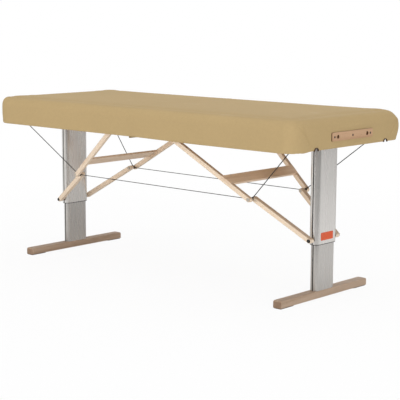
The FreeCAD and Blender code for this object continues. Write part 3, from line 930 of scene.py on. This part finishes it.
def make_hems():
    for half, sign in HALVES:
        hem = hem_strip(half)
        if sign < 0:
            mirror_piece(hem)
        smooth(hem, 40)
        paint(hem, VINYL)
        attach(hem, half + "_top")

        row = staple_rows(half)
        if sign < 0:
            mirror_piece(row)
        paint(row, WIRE)
        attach(row, half + "_top")


def hinge_screw(place):
    """A countersunk, slotted screw under a point."""
    low = place + Vector((0.0, 0.0, SCREW_LOW))
    screw = add_bar("hinge_screw", low, place + Vector((0.0, 0.0, SCREW_HIGH)), SCREW_R, 20)
    pick(screw, "FACE", lambda centre, normal: normal.z < -0.9)
    bpy.ops.transform.resize(value=(1.7, 1.7, 1.0), center_override=low)
    bpy.ops.mesh.inset(thickness=0.0004, depth=0.0002)
    leave_edit()
    cut_away(screw, add_block("slot", place + Vector(SLOT_LOW), place + Vector(SLOT_HIGH)))
    return screw


def make_hinge_screws():
    """Screws in the holes of the hinge leaves."""
    for half, sign in HALVES:
        screws = []
        for y in (-HINGE_Y, HINGE_Y):
            for x, offset in SCREW_PLACES:
                screws.append(hinge_screw(Vector((sign * x, y + offset, 0.0))))
        row = join(half + "_hinge_screws", screws)
        smooth(row, 35)
        paint(row, BRASS)
        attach(row, half + "_top")


# Stage

FLOOR_SIZE = 60.0
FLOOR_Z = -0.0005
# How much of the floor the camera sees through, close to the table and far from it
SEE_THROUGH = (0.94, 1.0)
UNDERSIDE_GLOW = 0.62
ROOM_LIGHT = 0.36
# Level directions in which polished metal mirrors a darker floor and a darker room: painted reflections, which only
# glossy rays see
DARK_FLOOR = (0.75, -0.66, 0.0)
DARK_ROOM = (0.96, -0.28, 0.0)
LAMP_AIM = (0.0, 0.0, 0.6)
# Name, place, watts, width and height of each lamp
LAMPS = (
    ("top_lamp", (0.0, 0.0, 4.0), 82.0, 5.0, 5.0),
    ("key_lamp", (5.6, -1.6, 1.4), 97.0, 3.0, 2.4),
    ("front_lamp", (-1.5, -6.5, 1.3), 165.0, 5.0, 2.4),
    ("back_lamp", (-3.0, 5.8, 1.5), 75.0, 4.0, 2.4),
)


def mix_shaders(tree, share, first, second):
    return add_node(tree, "MixShader", {0: share, 1: first, 2: second}).outputs[0]


def make_floor():
    """White ground. Metal mirrors it in lighter and darker zones; the darker zones are painted reflections that only
    glossy rays see.
    """
    clear_selection()
    bpy.ops.mesh.primitive_grid_add(x_subdivisions=2, y_subdivisions=2, size=FLOOR_SIZE, location=(0.0, 0.0, FLOOR_Z))
    floor = settle(name_new("floor"))
    white = bpy.data.materials.new("white_floor")
    white.use_nodes = True
    tree = white.node_tree
    tree.nodes.clear()
    out = tree.nodes.new("ShaderNodeOutputMaterial")
    path = tree.nodes.new("ShaderNodeLightPath").outputs
    place = tree.nodes.new("ShaderNodeTexCoord").outputs["Object"]
    far = add_node(tree, "VectorMath", {0: place}, operation="LENGTH").outputs["Value"]
    axes = split_axes(tree, place)

    # Painted reflection: for glossy rays only, the floor is darkened in a zone in front of the table and in one behind
    # it.
    across = calculate(tree, "SUBTRACT", axes["X"], axes["Y"])
    past_middle = remap(tree, axes["Y"], 0.1, 0.5, 0.0, 1.0)
    behind = calculate(tree, "MULTIPLY", remap(tree, across, -0.42, -0.12, 0.42, 0.0), past_middle)
    in_front = remap(tree, dot(tree, place, DARK_FLOOR), 1.2, 2.6, 0.0, 1.0)
    reflection_dark_zones = calculate(tree, "MAXIMUM", in_front, behind)
    dark = calculate(tree, "MULTIPLY", path["Is Glossy Ray"], reflection_dark_zones)
    ground = mix_colours(tree, dark, (0.90, 0.90, 0.90, 1.0), (0.10, 0.10, 0.10, 1.0))
    matt = add_node(tree, "BsdfDiffuse", {"Color": ground}).outputs[0]

    past_foot = remap(tree, axes["X"], -2.6, -1.4, 0.22, 0.0)
    bright = calculate(tree, "ADD", remap(tree, far, 0.7, 1.6, 0.05, 0.30), past_foot)
    glossy = calculate(tree, "MULTIPLY", path["Is Glossy Ray"], bright)
    glossy = calculate(tree, "MULTIPLY", glossy, calculate(tree, "SUBTRACT", 1.0, dark))
    clear = calculate(tree, "MAXIMUM", glossy, path["Is Transmission Ray"])
    glow = add_node(tree, "Emission", {"Color": WHITE, "Strength": 1.0}).outputs[0]
    upper = mix_shaders(tree, clear, matt, glow)
    lower = add_node(tree, "Emission", {"Color": WHITE, "Strength": UNDERSIDE_GLOW}).outputs[0]
    below = tree.nodes.new("ShaderNodeNewGeometry").outputs["Backfacing"]
    solid = mix_shaders(tree, below, upper, lower)

    # The camera sees the white room through the floor, and the shadow on it. Lamps shine through it as well, so that a
    # pose that goes below the floor stays in view and is lit as the rest.
    camera_share = calculate(tree, "MULTIPLY", path["Is Camera Ray"], remap(tree, far, 0.8, 3.2, *SEE_THROUGH))
    open_share = calculate(tree, "MAXIMUM", camera_share, path["Is Shadow Ray"])
    see_through = tree.nodes.new("ShaderNodeBsdfTransparent").outputs[0]
    tree.links.new(mix_shaders(tree, open_share, solid, see_through), out.inputs["Surface"])
    paint(floor, white)


def make_room():
    """A white room all round, dimmer as a light than it looks, and darker on one side as a painted reflection that only
    glossy rays see.
    """
    world = bpy.data.worlds.new("white_room")
    bpy.context.scene.world = world
    world.use_nodes = True
    tree = world.node_tree
    tree.nodes.clear()
    out = tree.nodes.new("ShaderNodeOutputWorld")
    path = tree.nodes.new("ShaderNodeLightPath").outputs
    direction = tree.nodes.new("ShaderNodeTexCoord").outputs["Generated"]
    # Painted reflection: glossy rays see the room darker towards DARK_ROOM.
    side = remap(tree, dot(tree, direction, DARK_ROOM), 0.38, 0.60, 1.0, 0.20)
    mirrored = calculate(tree, "MULTIPLY", path["Is Glossy Ray"], side)
    seen = calculate(tree, "MAXIMUM", path["Is Camera Ray"], mirrored)
    seen = calculate(tree, "MAXIMUM", seen, path["Is Transmission Ray"])
    strength = remap(tree, seen, 0.0, 1.0, ROOM_LIGHT, 1.0)
    sky = add_node(tree, "Background", {"Color": WHITE, "Strength": strength})
    tree.links.new(sky.outputs[0], out.inputs["Surface"])


def make_lamps():
    for name, place, power, width, height in LAMPS:
        clear_selection()
        bpy.ops.object.light_add(type="AREA", location=place)
        lamp = bpy.context.object
        lamp.name = name
        lamp.data.energy = power
        lamp.data.shape = "RECTANGLE"
        lamp.data.size = width
        lamp.data.size_y = height
        lamp.visible_glossy = False
        lamp.rotation_euler = (Vector(LAMP_AIM) - Vector(place)).to_track_quat("-Z", "Y").to_euler()


# The photograph's camera, fitted to the table's outline: place, angles in radians, lens and sensor in millimetres
CAMERA_AT = (3.9332, -4.2057, 1.2739)
CAMERA_YAW, CAMERA_PITCH, CAMERA_ROLL = -0.741, 0.160, -0.004
CAMERA_LENS = 107.2
CAMERA_SENSOR = 36.0


def make_camera():
    yaw, pitch, roll = CAMERA_YAW, CAMERA_PITCH, CAMERA_ROLL
    ahead = Vector((math.cos(pitch) * math.sin(yaw), math.cos(pitch) * math.cos(yaw), -math.sin(pitch)))
    level = Vector((math.cos(yaw), -math.sin(yaw), 0.0))
    below = ahead.cross(level)
    right = level * math.cos(roll) + below * math.sin(roll)
    down = below * math.cos(roll) - level * math.sin(roll)
    clear_selection()
    bpy.ops.object.camera_add()
    camera = bpy.context.object
    camera.name = "photo_camera"
    turn = Matrix((right, -down, -ahead)).transposed()
    camera.matrix_world = Matrix.Translation(CAMERA_AT) @ turn.to_4x4()
    camera.data.sensor_width = CAMERA_SENSOR
    camera.data.lens = CAMERA_LENS
    camera.data.clip_end = 200.0
    bpy.context.scene.camera = camera


make_camera()
bpy.context.scene.view_settings.view_transform = "Standard"
make_floor()
make_room()
make_lamps()
paint_solids()
make_padding()
make_stay_wires()
make_tie_wires()
make_orange_plate()
make_hems()
make_hinge_screws()
